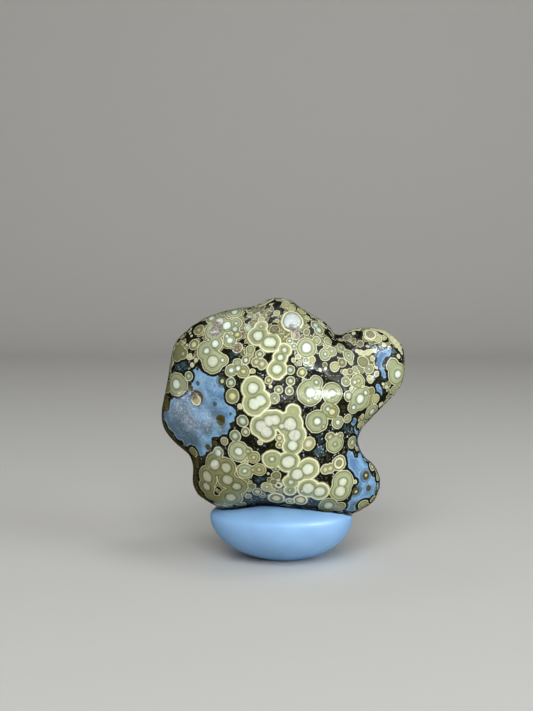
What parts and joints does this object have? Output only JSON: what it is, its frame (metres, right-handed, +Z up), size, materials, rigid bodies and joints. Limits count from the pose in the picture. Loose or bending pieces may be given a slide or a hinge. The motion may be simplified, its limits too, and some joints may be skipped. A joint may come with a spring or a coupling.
{
  "type": "gobi eye agate on a putty pad",
  "caption": "Lumpy wind-worn agate pebble with ringed olive and cream eyes over black and blue ground, held upright on a small flat-footed pad of putty.",
  "frame": {"origin": "middle of the bounding box's lower face, on the surface that the putty pad stands on", "axes": "+Z up, -Y out of the side with the pictured eyes, +X to the right of someone who looks at that side"},
  "size_m": [0.03, 0.0204, 0.0316],
  "materials": {
    "agate": "gloss",
    "putty": "satin"
  },
  "bodies": {
    "root": {"agate": "agate", "putty_pad": "putty"}
  },
  "joints": []
}
